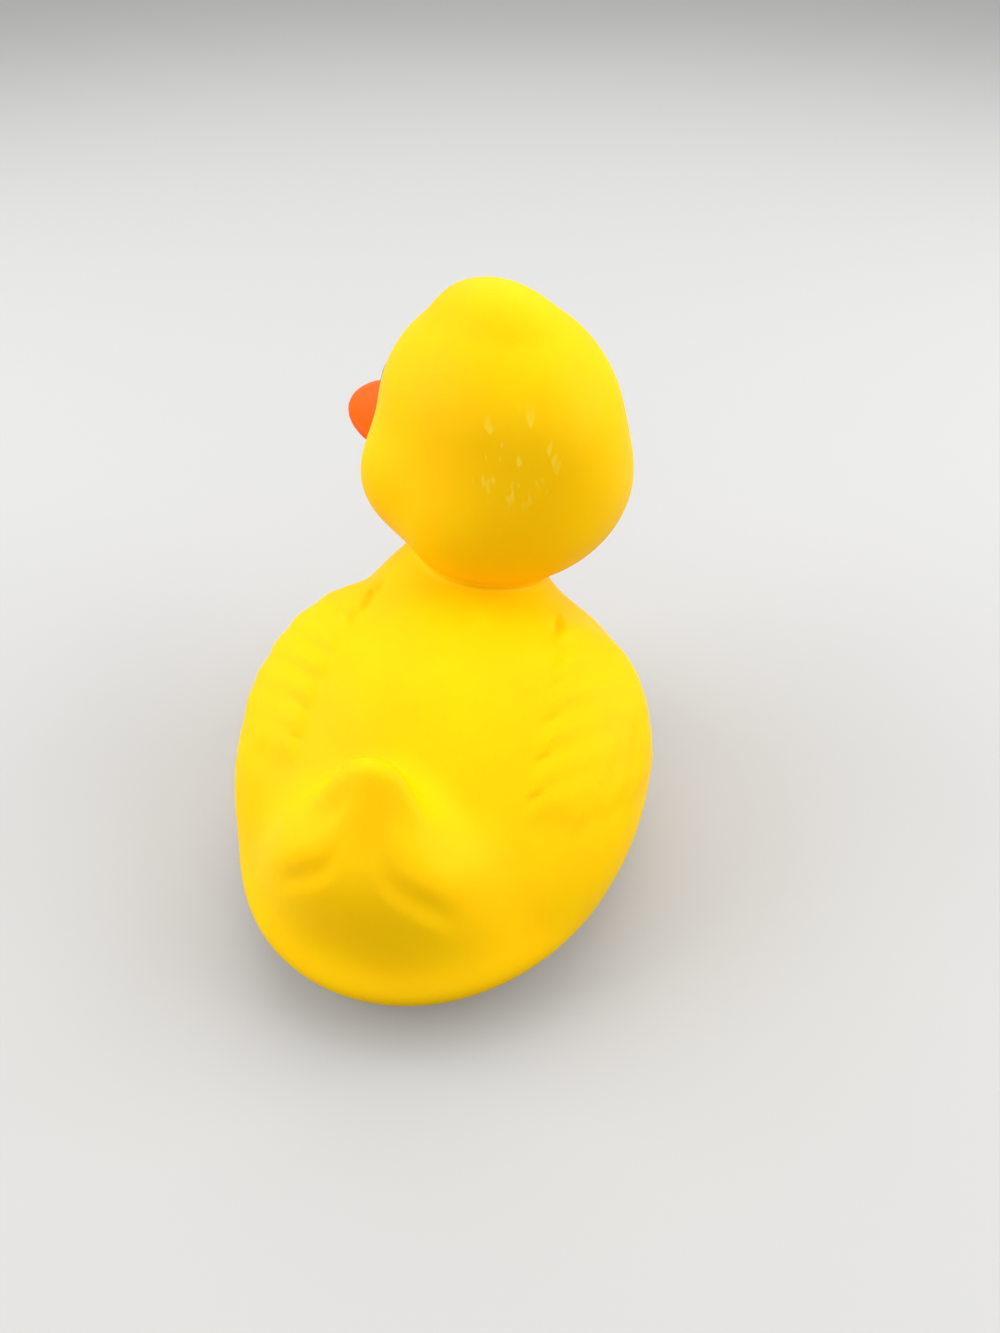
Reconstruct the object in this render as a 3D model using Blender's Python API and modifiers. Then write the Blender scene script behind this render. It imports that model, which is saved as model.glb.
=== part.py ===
"""Squeaking vinyl bath duck that looks over its left shoulder.

Metres, +Z up. The duck faces +X and stands on z = 0, and the origin lies on the floor under the
middle of its outline. The skin is one hollow moulding, and a squeaker is pressed into its base.
"""

import math

import bmesh
import bpy
import numpy as np
from mathutils import Matrix, Vector

MM = 0.001

# Belly, the round front and middle of the body
BELLY_X = 0.2 * MM
BELLY_HEIGHT = 18.0 * MM
BELLY_HALF_LENGTH = 38.0 * MM
BELLY_HALF_WIDTH = 34.2 * MM
BELLY_HALF_HEIGHT = 21.7 * MM

# Rump, the round stern under the tail
RUMP_X = -15.0 * MM
RUMP_HEIGHT = 11.5 * MM
RUMP_HALF_LENGTH = 32.7 * MM
RUMP_HALF_WIDTH = 29.9 * MM
RUMP_HALF_HEIGHT = 8.6 * MM
BODY_BLEND = 10.8 * MM
BASE_EDGE_ROUND = 2.4 * MM

# Shoulders, the dome under the neck
SHOULDER_X = 3.1 * MM
SHOULDER_HEIGHT = 30.5 * MM
SHOULDER_HALF_LENGTH = 21.8 * MM
SHOULDER_HALF_WIDTH = 25.6 * MM
SHOULDER_HALF_HEIGHT = 13.5 * MM

# Neck, a short waist from the shoulders up into the head
NECK_FOOT_X = 19.3 * MM
NECK_FOOT_SIDE = 5.0 * MM
NECK_FOOT_HEIGHT = 33.9 * MM
NECK_FOOT_RADIUS = 13.8 * MM
NECK_X = 26.1 * MM
NECK_HEIGHT = 51.2 * MM
NECK_RADIUS = 7.0 * MM
NECK_BLEND = 8.0 * MM

# Head, turned to the duck's left about an upright line through its middle
HEAD_TURN = math.radians(59.8)
HEAD_FORWARD = 1.5 * MM
HEAD_RISE = 14.0 * MM
HEAD_X = NECK_X + HEAD_FORWARD
HEAD_HEIGHT = NECK_HEIGHT + HEAD_RISE
HEAD_HALF_LENGTH = 22.2 * MM
HEAD_HALF_WIDTH = 18.8 * MM
HEAD_HALF_HEIGHT = 21.7 * MM
JOWL_X = -4.2 * MM
JOWL_DROP = 9.7 * MM
JOWL_HALF_LENGTH = 16.6 * MM
JOWL_HALF_WIDTH = 21.9 * MM
JOWL_HALF_HEIGHT = 14.2 * MM
JOWL_BLEND = 6.9 * MM
CHEEK_X = 6.7 * MM
CHEEK_SIDE = 11.1 * MM
CHEEK_DROP = 6.7 * MM
CHEEK_RADIUS = 10.6 * MM
CREST_X = 1.1 * MM
CREST_RISE = 16.9 * MM
CREST_HALF_LENGTH = 11.2 * MM
CREST_HALF_WIDTH = 7.9 * MM
CREST_HALF_HEIGHT = 6.6 * MM
CREST_CREASE = 2.4 * MM
FACE_BLEND = 3.8 * MM
NAPE_CREASE = 2.0 * MM

# Bill, two flattened lobes with the mouth line between them
UPPER_BILL_X = 23.6 * MM
UPPER_BILL_DROP = 7.6 * MM
UPPER_BILL_HALF_LENGTH = 13.3 * MM
UPPER_BILL_HALF_WIDTH = 10.6 * MM
UPPER_BILL_HALF_THICKNESS = 2.8 * MM
UPPER_BILL_TILT = math.radians(8.0)
LOWER_BILL_X = 18.6 * MM
LOWER_BILL_DROP = 9.8 * MM
LOWER_BILL_HALF_LENGTH = 12.0 * MM
LOWER_BILL_HALF_WIDTH = 9.0 * MM
LOWER_BILL_HALF_THICKNESS = 3.4 * MM
BILL_ROOT_BLEND = 1.2 * MM
MOUTH_CREASE = 1.2 * MM

# Eyes, low oval swellings above the cheeks
EYE_ANGLE = math.radians(24.0)
EYE_RISE = 4.5 * MM
EYE_HALF_WIDTH = 2.8 * MM
EYE_HALF_HEIGHT = 4.2 * MM
EYE_SWELL = 0.4 * MM

# Tail, an upright wedge with a round tip
TAIL_TIP_X = -30.2 * MM
TAIL_SIDE = 1.0 * MM
TAIL_TIP_HEIGHT = 38.2 * MM
TAIL_TIP_RADIUS = 5.4 * MM
TAIL_ROOT_X = -33.3 * MM
TAIL_ROOT_HEIGHT = 20.5 * MM
TAIL_ROOT_HALF_WIDTH = 16.2 * MM
TAIL_FLATNESS = 0.62
TAIL_BLEND = 5.7 * MM

# Tail feathers, whose edges fall away to both sides of a line up the wedge
TAIL_FEATHER_SIDE = 0.2 * MM
TAIL_FEATHER_TOP = 47.5 * MM
TAIL_GROOVE_DROPS = (5.5 * MM, 12.6 * MM)
TAIL_GROOVE_DEPTHS = (0.38 * MM, 0.38 * MM)
TAIL_FEATHER_SLOPE = 0.8
TAIL_GROOVE_WIDTH = 3.0 * MM
TAIL_BANK_WIDTH = 3.4 * MM
TAIL_BANK_SHARE = 0.15
TAIL_FEATHER_INNER = 2.0 * MM
TAIL_FEATHER_FULL = 5.0 * MM
TAIL_FEATHER_FADE = 10.0 * MM
TAIL_FEATHER_OUTER = 16.0 * MM
TAIL_FEATHER_FRONT = -27.0 * MM
TAIL_FEATHER_FRONT_END = -22.0 * MM

# Wings, raised pads that rise towards the shoulder
WING_X = -7.8 * MM
WING_SIDE = 19.8 * MM
WING_HEIGHT = 24.9 * MM
WING_HALF_LENGTH = 22.1 * MM
WING_HALF_WIDTH = 13.7 * MM
WING_HALF_HEIGHT = 10.4 * MM
WING_RISE = math.radians(30.3)
WING_BLEND = 5.7 * MM
WING_EDGE_STEP = 0.7 * MM
WING_AXIS_INSET = 6.0 * MM
WING_INNER_ANGLE = math.radians(10.0)
WING_FRONT_END = 27.0 * MM
WING_REAR_END = -9.8 * MM
WING_REAR_SWEEP = 0.2
WING_MARGIN = 11.4 * MM
WING_MARGIN_END = 17.1 * MM
WING_LOWER_SHARE = 0.5

# Covert feathers, short ones that overlap like tiles down the wing's upper inner edge
COVERT_FIRST_LEFT = 12.4 * MM
COVERT_FIRST_RIGHT = 16.8 * MM
COVERT_PITCH_LEFT = 4.6 * MM
COVERT_PITCH_RIGHT = 6.0 * MM
COVERT_SWEEP_LEFT = 0.36
COVERT_SWEEP_RIGHT = 0.65
COVERT_SWEEP_CHANGE_LEFT = -0.01 / MM
COVERT_SWEEP_CHANGE_RIGHT = 0.013 / MM
COVERT_INNER_LEFT = 1.0 * MM
COVERT_INNER_RIGHT = 1.8 * MM
COVERT_INNER_LEAN_LEFT = 0.05
COVERT_INNER_LEAN_RIGHT = 0.05
COVERT_SCALLOP = 1.4 * MM
COVERT_REACH = 12.5 * MM
COVERT_SPREAD = 0.33
COVERT_ONSET = -1.0
COVERT_ONSET_END = -0.5
COVERT_FRONT_STEP_LEFT = 0.7 * MM
COVERT_FRONT_STEP_RIGHT = 0.34 * MM
COVERT_REAR_STEP = 0.22 * MM
COVERT_OUTER_SHARE = 0.45
COVERT_FADE_START = 0.3
COVERT_FADE_END = 0.7
COVERT_RIM_LEFT = 0.9
COVERT_RIM_RIGHT = 0.4
COVERT_RIM_WIDTH = 3.9 * MM
COVERT_STEP_SHARE = 0.42

# Flight feathers, long and stacked down the wing's outer side
FLIGHT_FIRST_ANGLE = math.radians(61.0)
FLIGHT_PITCH_ANGLE = math.radians(13.5)
FLIGHT_FEATHERS = 4
FLIGHT_LENGTH = 14.0 * MM
FLIGHT_FADE_START = 9.0 * MM
FLIGHT_TIP_STEP = 3.0 * MM
FLIGHT_TIP_ROUND = 1.6 * MM
FLIGHT_STEP = 0.3 * MM
FLIGHT_STEP_SHARE = 0.3
FLIGHT_OVERLAP = 1.9 * MM
EDGE_SOFTNESS = 1.3 * MM
REAR_SOFTNESS = 3.2 * MM

# Dimple where the wing's front end meets the body
DIMPLE_FORWARD = 22.8 * MM
DIMPLE_REACH = 1.0 * MM
DIMPLE_RADIUS = 2.8 * MM
DIMPLE_DEPTH_LEFT = 0.15 * MM
DIMPLE_DEPTH_RIGHT = 0.5 * MM

# Skin of the moulding
SKIN_WALL = 2.0 * MM
OUTER_GRAIN = 1.3 * MM
OUTER_TRIANGLES = 7000
INNER_GRAIN = 2.2 * MM
INNER_TRIANGLES = 1500
FLOOR_TOLERANCE = 0.02 * MM

# Drawing of the skin on its form
BALL_DETAIL = 4
COLUMN_STATIONS = 4
SETTLE_ROUNDS = 14
FREE_ROUNDS = 3
EVEN_PULL = 0.5
SLOPE_STEP = 0.05 * MM
LEAST_SLOPE = 0.2

# Squeaker hole in the base and the collar round it
SQUEAKER_X = 0.0 * MM
BORE_RADIUS = 6.5 * MM
COLLAR_WALL = 4.5 * MM
COLLAR_HEIGHT = 5.0 * MM
RECESS_RADIUS = 9.0 * MM
RECESS_DEPTH = 1.6 * MM

# Squeaker
CLEARANCE = 0.3 * MM
CASE_WALL = 1.2 * MM
CASE_HEIGHT = 13.3 * MM
FLANGE_OVERHANG = 1.8 * MM
FLANGE_THICKNESS = 1.0 * MM
AIR_HOLE_RADIUS = 1.5 * MM
SEAT_DISC_THICKNESS = 1.2 * MM
SEAT_PIPE_RADIUS = 2.8 * MM
SEAT_PIPE_HEIGHT = 7.0 * MM
SEAT_CHANNEL_RADIUS = 1.7 * MM
REED_THICKNESS = 0.4 * MM
REED_WIDTH = 4.4 * MM
ROUND_STEPS = 40

PART_NAME = "rubber_duck"


# Form of the duck: each function gives the distance of points from one surface, minus inside

def ellipsoid(points, centre, radii):
    scaled = (points - np.array(centre)) / np.array(radii)
    reach = np.sqrt((scaled ** 2).sum(axis=1))
    slope = np.sqrt(((scaled / np.array(radii)) ** 2).sum(axis=1))
    return reach * (reach - 1.0) / np.maximum(slope, 1e-6)


def tapered_column(points, start, end, start_radius, end_radius):
    """A ball at each end and the cone that touches both."""
    start = np.array(start)
    axis = np.array(end) - start
    length = np.sqrt((axis ** 2).sum())
    taper = (start_radius - end_radius) / length
    offset = points - start
    along = offset @ axis / length
    across = np.sqrt(np.maximum((offset ** 2).sum(axis=1) - along ** 2, 0.0))
    straight = math.sqrt(1.0 - taper ** 2)
    station = np.clip(along - across * taper / straight, 0.0, length)
    radius = start_radius - taper * station
    return np.hypot(across, along - station) - radius


def joined(first, second, width):
    """The nearer of two surfaces, with a fillet of the given width where they meet."""
    overlap = np.maximum(width - np.abs(first - second), 0.0) / width
    return np.minimum(first, second) - overlap ** 2 * width / 4.0


def common(first, second, width):
    """What lies inside both surfaces, with its edge rounded over the given width."""
    return -joined(-first, -second, width)


def turned(points, angle):
    """Points seen from a frame that is turned left by the angle."""
    cosine, sine = math.cos(angle), math.sin(angle)
    x, y, z = points.T
    return np.column_stack((x * cosine + y * sine, y * cosine - x * sine, z))


def pitched(points, angle):
    """Points seen from a frame whose front is lifted by the angle."""
    cosine, sine = math.cos(angle), math.sin(angle)
    x, y, z = points.T
    return np.column_stack((x * cosine + z * sine, y, z * cosine - x * sine))


def mirrored(points):
    """Both sides of the duck folded onto its left side."""
    return np.column_stack((points[:, 0], np.abs(points[:, 1]), points[:, 2]))


def ramp(values, start, end):
    """Smooth step from 0 at start to 1 at end."""
    share = np.clip((values - start) / (end - start), 0.0, 1.0)
    return share * share * (3.0 - 2.0 * share)


def in_head(points):
    return turned(points - np.array((HEAD_X, 0.0, HEAD_HEIGHT)), HEAD_TURN)


def head_form(points):
    local = in_head(points)
    skull = ellipsoid(local, (0, 0, 0), (HEAD_HALF_LENGTH, HEAD_HALF_WIDTH, HEAD_HALF_HEIGHT))
    jowl = ellipsoid(
        local,
        (JOWL_X, 0, -JOWL_DROP),
        (JOWL_HALF_LENGTH, JOWL_HALF_WIDTH, JOWL_HALF_HEIGHT),
    )
    cheeks = ellipsoid(mirrored(local), (CHEEK_X, CHEEK_SIDE, -CHEEK_DROP), (CHEEK_RADIUS,) * 3)
    crest = ellipsoid(
        local,
        (CREST_X, 0, CREST_RISE),
        (CREST_HALF_LENGTH, CREST_HALF_WIDTH, CREST_HALF_HEIGHT),
    )
    form = joined(skull, jowl, JOWL_BLEND)
    form = joined(form, cheeks, FACE_BLEND)
    return joined(form, crest, CREST_CREASE)


def bill_form(points):
    local = in_head(points)
    upper_centre = np.array((UPPER_BILL_X, 0, -UPPER_BILL_DROP))
    upper = ellipsoid(
        pitched(local - upper_centre, UPPER_BILL_TILT),
        (0, 0, 0),
        (UPPER_BILL_HALF_LENGTH, UPPER_BILL_HALF_WIDTH, UPPER_BILL_HALF_THICKNESS),
    )
    lower = ellipsoid(
        local,
        (LOWER_BILL_X, 0, -LOWER_BILL_DROP),
        (LOWER_BILL_HALF_LENGTH, LOWER_BILL_HALF_WIDTH, LOWER_BILL_HALF_THICKNESS),
    )
    return joined(upper, lower, MOUTH_CREASE)


def tail_form(points):
    """The wedge is a tapered column that is thin along the duck's length."""
    squeezed = (points - np.array((TAIL_TIP_X, TAIL_SIDE, 0))) / np.array((TAIL_FLATNESS, 1, 1))
    root_x = (TAIL_ROOT_X - TAIL_TIP_X) / TAIL_FLATNESS
    column = tapered_column(
        squeezed,
        (0, 0, TAIL_TIP_HEIGHT),
        (root_x, 0, TAIL_ROOT_HEIGHT),
        TAIL_TIP_RADIUS,
        TAIL_ROOT_HALF_WIDTH,
    )
    return column * TAIL_FLATNESS


def in_wing(points):
    centre = np.array((WING_X, WING_SIDE, WING_HEIGHT))
    return pitched(mirrored(points) - centre, WING_RISE)


def wing_form(points):
    return ellipsoid(in_wing(points), (0, 0, 0), (WING_HALF_LENGTH, WING_HALF_WIDTH, WING_HALF_HEIGHT))


def body_form(points):
    belly = ellipsoid(
        points,
        (BELLY_X, 0, BELLY_HEIGHT),
        (BELLY_HALF_LENGTH, BELLY_HALF_WIDTH, BELLY_HALF_HEIGHT),
    )
    rump = ellipsoid(
        points,
        (RUMP_X, 0, RUMP_HEIGHT),
        (RUMP_HALF_LENGTH, RUMP_HALF_WIDTH, RUMP_HALF_HEIGHT),
    )
    shoulders = ellipsoid(
        points,
        (SHOULDER_X, 0, SHOULDER_HEIGHT),
        (SHOULDER_HALF_LENGTH, SHOULDER_HALF_WIDTH, SHOULDER_HALF_HEIGHT),
    )
    neck = tapered_column(
        points,
        (NECK_FOOT_X, NECK_FOOT_SIDE, NECK_FOOT_HEIGHT),
        (NECK_X, 0, NECK_HEIGHT),
        NECK_FOOT_RADIUS,
        NECK_RADIUS,
    )
    form = joined(belly, rump, BODY_BLEND)
    form = joined(form, shoulders, BODY_BLEND)
    form = joined(form, neck, NECK_BLEND)
    form = joined(form, wing_form(points), WING_BLEND)
    return joined(form, tail_form(points), TAIL_BLEND)


def duck_form(points):
    form = joined(body_form(points), head_form(points), NAPE_CREASE)
    form = joined(form, bill_form(points), BILL_ROOT_BLEND)
    return common(form, -points[:, 2], BASE_EDGE_ROUND)


def cavity_form(points):
    return duck_form(points) + SKIN_WALL


# Relief that stands on the form

def shingle(phase, step_share):
    """Rises along each overlapping feather from 0 to 1 and drops within its last share."""
    share = phase - np.floor(phase)
    return ramp(share, 0.0, 1.0 - step_share) * (1.0 - ramp(share, 1.0 - step_share, 1.0))


def wing_places(points):
    """How far forward, how far out over the wing's back, and at what angle round it."""
    local = in_wing(points)
    angle = np.arctan2(local[:, 1] + WING_AXIS_INSET, local[:, 2])
    return local[:, 0], (angle - WING_INNER_ANGLE) * WING_HALF_WIDTH, angle


def by_side(points, left_value, right_value):
    return np.where(points[:, 1] > 0, left_value, right_value)


def wing_relief(points):
    """The wing's raised level, with its feathers overlapping rearwards and outwards."""
    along, reach, angle = wing_places(points)
    first = by_side(points, COVERT_FIRST_LEFT, COVERT_FIRST_RIGHT)
    pitch = by_side(points, COVERT_PITCH_LEFT, COVERT_PITCH_RIGHT)
    behind = first - along
    inner_start = by_side(points, COVERT_INNER_LEFT, COVERT_INNER_RIGHT)
    inner_lean = by_side(points, COVERT_INNER_LEAN_LEFT, COVERT_INNER_LEAN_RIGHT)
    inner_edge = inner_start + behind * inner_lean
    sweep = by_side(points, COVERT_SWEEP_LEFT, COVERT_SWEEP_RIGHT)
    sweep = sweep + behind * by_side(points, COVERT_SWEEP_CHANGE_LEFT, COVERT_SWEEP_CHANGE_RIGHT)
    swept = np.maximum(sweep, 0.0) * (reach - inner_edge)
    phase = (behind + swept) / pitch
    share = phase - np.floor(phase)
    scallop = COVERT_SCALLOP * (1.0 - share) ** 2
    inner = ramp(reach - inner_edge - scallop, -EDGE_SOFTNESS, EDGE_SOFTNESS)
    outer_edge = COVERT_REACH + COVERT_SPREAD * along
    rim = by_side(points, COVERT_RIM_LEFT, COVERT_RIM_RIGHT)
    on_coverts = 1.0 - (1.0 - rim) * ramp(reach - outer_edge, -COVERT_RIM_WIDTH, 0.0)
    outwards = ramp(reach / outer_edge, COVERT_FADE_START, COVERT_FADE_END)
    on_coverts *= 1.0 - (1.0 - COVERT_OUTER_SHARE) * outwards
    front_step = by_side(points, COVERT_FRONT_STEP_LEFT, COVERT_FRONT_STEP_RIGHT)
    step = front_step + (COVERT_REAR_STEP - front_step) * ramp(behind, 0.0, first - WING_REAR_END)
    on_coverts *= ramp(phase, COVERT_ONSET, COVERT_ONSET_END)
    coverts = step * on_coverts * (1.0 - shingle(phase, COVERT_STEP_SHARE))

    count = (angle - FLIGHT_FIRST_ANGLE) / FLIGHT_PITCH_ANGLE
    on_flight = ramp(reach - outer_edge, -FLIGHT_OVERLAP, EDGE_SOFTNESS / 2)
    nearest = np.abs(count - np.round(count))
    row = np.clip(count + 0.5, 0.0, FLIGHT_FEATHERS)
    tip = WING_REAR_END + WING_REAR_SWEEP * (reach - inner_edge) + FLIGHT_TIP_STEP * row
    tip += FLIGHT_TIP_ROUND * (1.0 - 2.0 * nearest) ** 2 * on_flight
    rear = ramp(along - tip, -REAR_SOFTNESS, REAR_SOFTNESS)
    on_flight *= 1.0 - ramp(along - tip, FLIGHT_FADE_START, FLIGHT_LENGTH)
    on_flight *= ramp(along - tip, 0.0, REAR_SOFTNESS)
    flight = FLIGHT_STEP * on_flight * (1.0 - shingle(count, FLIGHT_STEP_SHARE))

    front = 1.0 - ramp(along, WING_FRONT_END - WING_BLEND, WING_FRONT_END)
    lower = 1.0 - ramp(count, FLIGHT_FEATHERS, FLIGHT_FEATHERS + WING_LOWER_SHARE)
    beside = 1.0 - ramp(wing_form(points), WING_MARGIN, WING_MARGIN_END)
    level = inner * lower * rear * front * beside
    return level * (WING_EDGE_STEP - coverts - flight)


def wing_dimples(points):
    along, reach, angle = wing_places(points)
    distance = np.hypot(along - DIMPLE_FORWARD, reach - DIMPLE_REACH)
    depth = by_side(points, DIMPLE_DEPTH_LEFT, DIMPLE_DEPTH_RIGHT)
    return -depth * (1.0 - ramp(distance, 0.0, DIMPLE_RADIUS)) * (angle < math.pi / 2)


def tail_relief(points):
    """Feathers that run down both arms of the wedge, one below the other."""
    x, y, z = points.T
    side = np.abs(y - TAIL_FEATHER_SIDE)
    drop = TAIL_FEATHER_TOP - z - side * TAIL_FEATHER_SLOPE
    over_tail = ramp(side, TAIL_FEATHER_INNER, TAIL_FEATHER_FULL)
    over_tail *= 1.0 - ramp(side, TAIL_FEATHER_FADE, TAIL_FEATHER_OUTER)
    over_tail *= 1.0 - ramp(x, TAIL_FEATHER_FRONT, TAIL_FEATHER_FRONT_END)
    height = np.zeros(len(points))
    for groove_drop, depth in zip(TAIL_GROOVE_DROPS, TAIL_GROOVE_DEPTHS):
        away = np.abs(drop - groove_drop)
        height -= depth * (1.0 - ramp(away, 0.0, TAIL_GROOVE_WIDTH))
        bank = np.abs(away - TAIL_BANK_WIDTH)
        height += depth * TAIL_BANK_SHARE * (1.0 - ramp(bank, 0.0, TAIL_GROOVE_WIDTH))
    return height * over_tail


def eye_reach(points):
    """How far a point lies from the nearer eye's middle, as a share of the eye's own size."""
    local = mirrored(in_head(points))
    heading = np.arctan2(local[:, 1], local[:, 0])
    across = (heading - EYE_ANGLE) * HEAD_HALF_WIDTH
    return np.hypot(across / EYE_HALF_WIDTH, (local[:, 2] - EYE_RISE) / EYE_HALF_HEIGHT)


def eye_relief(points):
    swell = np.sqrt(np.clip(1.0 - eye_reach(points) ** 2, 0.0, 1.0))
    return EYE_SWELL * swell * (head_form(points) < EYE_SWELL * 2)


def relief(points):
    return wing_relief(points) + wing_dimples(points) + tail_relief(points) + eye_relief(points)


# Meshes

def clear_scene():
    for item in list(bpy.data.objects):
        bpy.data.objects.remove(item, do_unlink=True)


def collection(name):
    group = bpy.data.collections.new(name)
    bpy.context.scene.collection.children.link(group)
    return group


def new_object(name, mesh, group):
    item = bpy.data.objects.new(name, mesh)
    group.objects.link(item)
    return item


def as_cutter(item):
    item.hide_render = True
    item.display_type = "WIRE"
    return item


def evaluated_mesh(item):
    """The object's mesh with its modifiers applied."""
    graph = bpy.context.evaluated_depsgraph_get()
    graph.update()
    return bpy.data.meshes.new_from_object(item.evaluated_get(graph))


def bake(item):
    mesh = evaluated_mesh(item)
    item.modifiers.clear()
    item.data = mesh


def add_ball(bm, centre, radii, turn=None):
    place = Matrix.Translation(Vector(centre)) @ Matrix.Diagonal((*radii, 1.0))
    if turn is not None:
        place = turn @ place
    bmesh.ops.create_icosphere(bm, subdivisions=BALL_DETAIL, radius=1.0, matrix=place)


def blank_mesh(inset):
    """Balls in the places of the duck's main forms, for the skin to be drawn from."""
    bm = bmesh.new()
    head_place = Matrix.Translation((HEAD_X, 0, HEAD_HEIGHT)) @ Matrix.Rotation(HEAD_TURN, 4, "Z")

    def ball(centre, radii, turn=None):
        add_ball(bm, centre, [radius - inset for radius in radii], turn)

    ball(
        (BELLY_X, 0, BELLY_HEIGHT),
        (BELLY_HALF_LENGTH, BELLY_HALF_WIDTH, BELLY_HALF_HEIGHT),
    )
    ball((RUMP_X, 0, RUMP_HEIGHT), (RUMP_HALF_LENGTH, RUMP_HALF_WIDTH, RUMP_HALF_HEIGHT))
    ball(
        (SHOULDER_X, 0, SHOULDER_HEIGHT),
        (SHOULDER_HALF_LENGTH, SHOULDER_HALF_WIDTH, SHOULDER_HALF_HEIGHT),
    )
    foot = Vector((NECK_FOOT_X, NECK_FOOT_SIDE, NECK_FOOT_HEIGHT))
    tip = Vector((TAIL_TIP_X, TAIL_SIDE, TAIL_TIP_HEIGHT))
    for share in np.linspace(0.0, 1.0, COLUMN_STATIONS):
        radius = NECK_FOOT_RADIUS + (NECK_RADIUS - NECK_FOOT_RADIUS) * share
        ball(foot.lerp((NECK_X, 0, NECK_HEIGHT), share), (radius,) * 3)
        radius = TAIL_TIP_RADIUS + (TAIL_ROOT_HALF_WIDTH - TAIL_TIP_RADIUS) * share
        thick = max(radius * TAIL_FLATNESS, TAIL_TIP_RADIUS)
        ball(tip.lerp((TAIL_ROOT_X, TAIL_SIDE, TAIL_ROOT_HEIGHT), share), (thick, radius, radius))
    for side in (-1, 1):
        place = Matrix.Translation((WING_X, side * WING_SIDE, WING_HEIGHT))
        place = place @ Matrix.Rotation(-WING_RISE, 4, "Y")
        ball((0, 0, 0), (WING_HALF_LENGTH, WING_HALF_WIDTH, WING_HALF_HEIGHT), place)
        ball((CHEEK_X, side * CHEEK_SIDE, -CHEEK_DROP), (CHEEK_RADIUS,) * 3, head_place)
    ball((0, 0, 0), (HEAD_HALF_LENGTH, HEAD_HALF_WIDTH, HEAD_HALF_HEIGHT), head_place)
    ball(
        (JOWL_X, 0, -JOWL_DROP),
        (JOWL_HALF_LENGTH, JOWL_HALF_WIDTH, JOWL_HALF_HEIGHT),
        head_place,
    )
    ball(
        (CREST_X, 0, CREST_RISE),
        (CREST_HALF_LENGTH, CREST_HALF_WIDTH, CREST_HALF_HEIGHT),
        head_place,
    )
    upper = Matrix.Translation((UPPER_BILL_X, 0, -UPPER_BILL_DROP))
    upper = head_place @ upper @ Matrix.Rotation(-UPPER_BILL_TILT, 4, "Y")
    ball(
        (0, 0, 0),
        (UPPER_BILL_HALF_LENGTH, UPPER_BILL_HALF_WIDTH, UPPER_BILL_HALF_THICKNESS),
        upper,
    )
    ball(
        (LOWER_BILL_X, 0, -LOWER_BILL_DROP),
        (LOWER_BILL_HALF_LENGTH, LOWER_BILL_HALF_WIDTH, LOWER_BILL_HALF_THICKNESS),
        head_place,
    )
    mesh = bpy.data.meshes.new("blank")
    bm.to_mesh(mesh)
    bm.free()
    return mesh


def slope(form, points):
    """The form's distance at each point and the direction in which it grows."""
    gradient = np.empty_like(points)
    for axis in range(3):
        shift = np.zeros(3)
        shift[axis] = SLOPE_STEP
        rise = form(points + shift) - form(points - shift)
        gradient[:, axis] = rise / (SLOPE_STEP * 2)
    return form(points), gradient


def neighbour_mean(points, first, second):
    """The middle of each vertex's neighbours, over edges given by their two ends."""
    ends = np.concatenate((first, second))
    others = np.concatenate((second, first))
    count = np.bincount(ends, minlength=len(points))
    sums = [np.bincount(ends, points[others, axis], len(points)) for axis in range(3)]
    return np.column_stack(sums) / count[:, None]


def settle(mesh, form):
    """Moves each vertex onto the form, and evens the spacing on the way."""
    points = np.empty(len(mesh.vertices) * 3)
    mesh.vertices.foreach_get("co", points)
    points = points.reshape(-1, 3)
    edges = np.empty(len(mesh.edges) * 2, dtype=np.int64)
    mesh.edges.foreach_get("vertices", edges)
    first, second = edges.reshape(-1, 2).T
    for turn in range(SETTLE_ROUNDS):
        distance, gradient = slope(form, points)
        size = np.maximum((gradient ** 2).sum(axis=1), LEAST_SLOPE)
        points -= gradient * (distance / size)[:, None]
        if turn < SETTLE_ROUNDS - FREE_ROUNDS:
            normal = gradient / np.sqrt(size)[:, None]
            pull = neighbour_mean(points, first, second) - points
            pull -= normal * (pull * normal).sum(axis=1)[:, None]
            points += pull * EVEN_PULL
    return points


def put_points(mesh, points):
    mesh.vertices.foreach_set("co", points.ravel())
    mesh.update()


def drawn_skin(name, group, form, inset, grain, triangles, raised):
    """A closed skin on the form, with about as many triangles as asked."""
    item = new_object(name, blank_mesh(inset), group)
    remesh = item.modifiers.new("join_forms", "REMESH")
    remesh.mode = "VOXEL"
    remesh.voxel_size = grain
    bake(item)
    points = settle(item.data, form)
    if raised:
        gradient = slope(form, points)[1]
        size = np.sqrt(np.maximum((gradient ** 2).sum(axis=1), LEAST_SLOPE))
        points += gradient / size[:, None] * relief(points)[:, None]
    floor = np.abs(points[:, 2]) < FLOOR_TOLERANCE
    points[floor, 2] = 0.0
    put_points(item.data, points)
    thin = item.modifiers.new("thin_out", "DECIMATE")
    thin.use_collapse_triangulate = True
    thin.ratio = min(1.0, triangles / (len(item.data.polygons) * 2))
    bake(item)
    return item


def turned_object(name, group, outline):
    """A closed outline of radius and height, spun about the upright axis."""
    bm = bmesh.new()
    corners = [bm.verts.new((radius, 0, height)) for radius, height in outline]
    for index, corner in enumerate(corners):
        bm.edges.new((corner, corners[(index + 1) % len(corners)]))
    mesh = bpy.data.meshes.new(name)
    bm.to_mesh(mesh)
    bm.free()
    item = new_object(name, mesh, group)
    screw = item.modifiers.new("spin", "SCREW")
    screw.steps = ROUND_STEPS
    screw.render_steps = ROUND_STEPS
    screw.use_merge_vertices = True
    screw.merge_threshold = 0.01 * MM
    bake(item)
    return item


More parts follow.
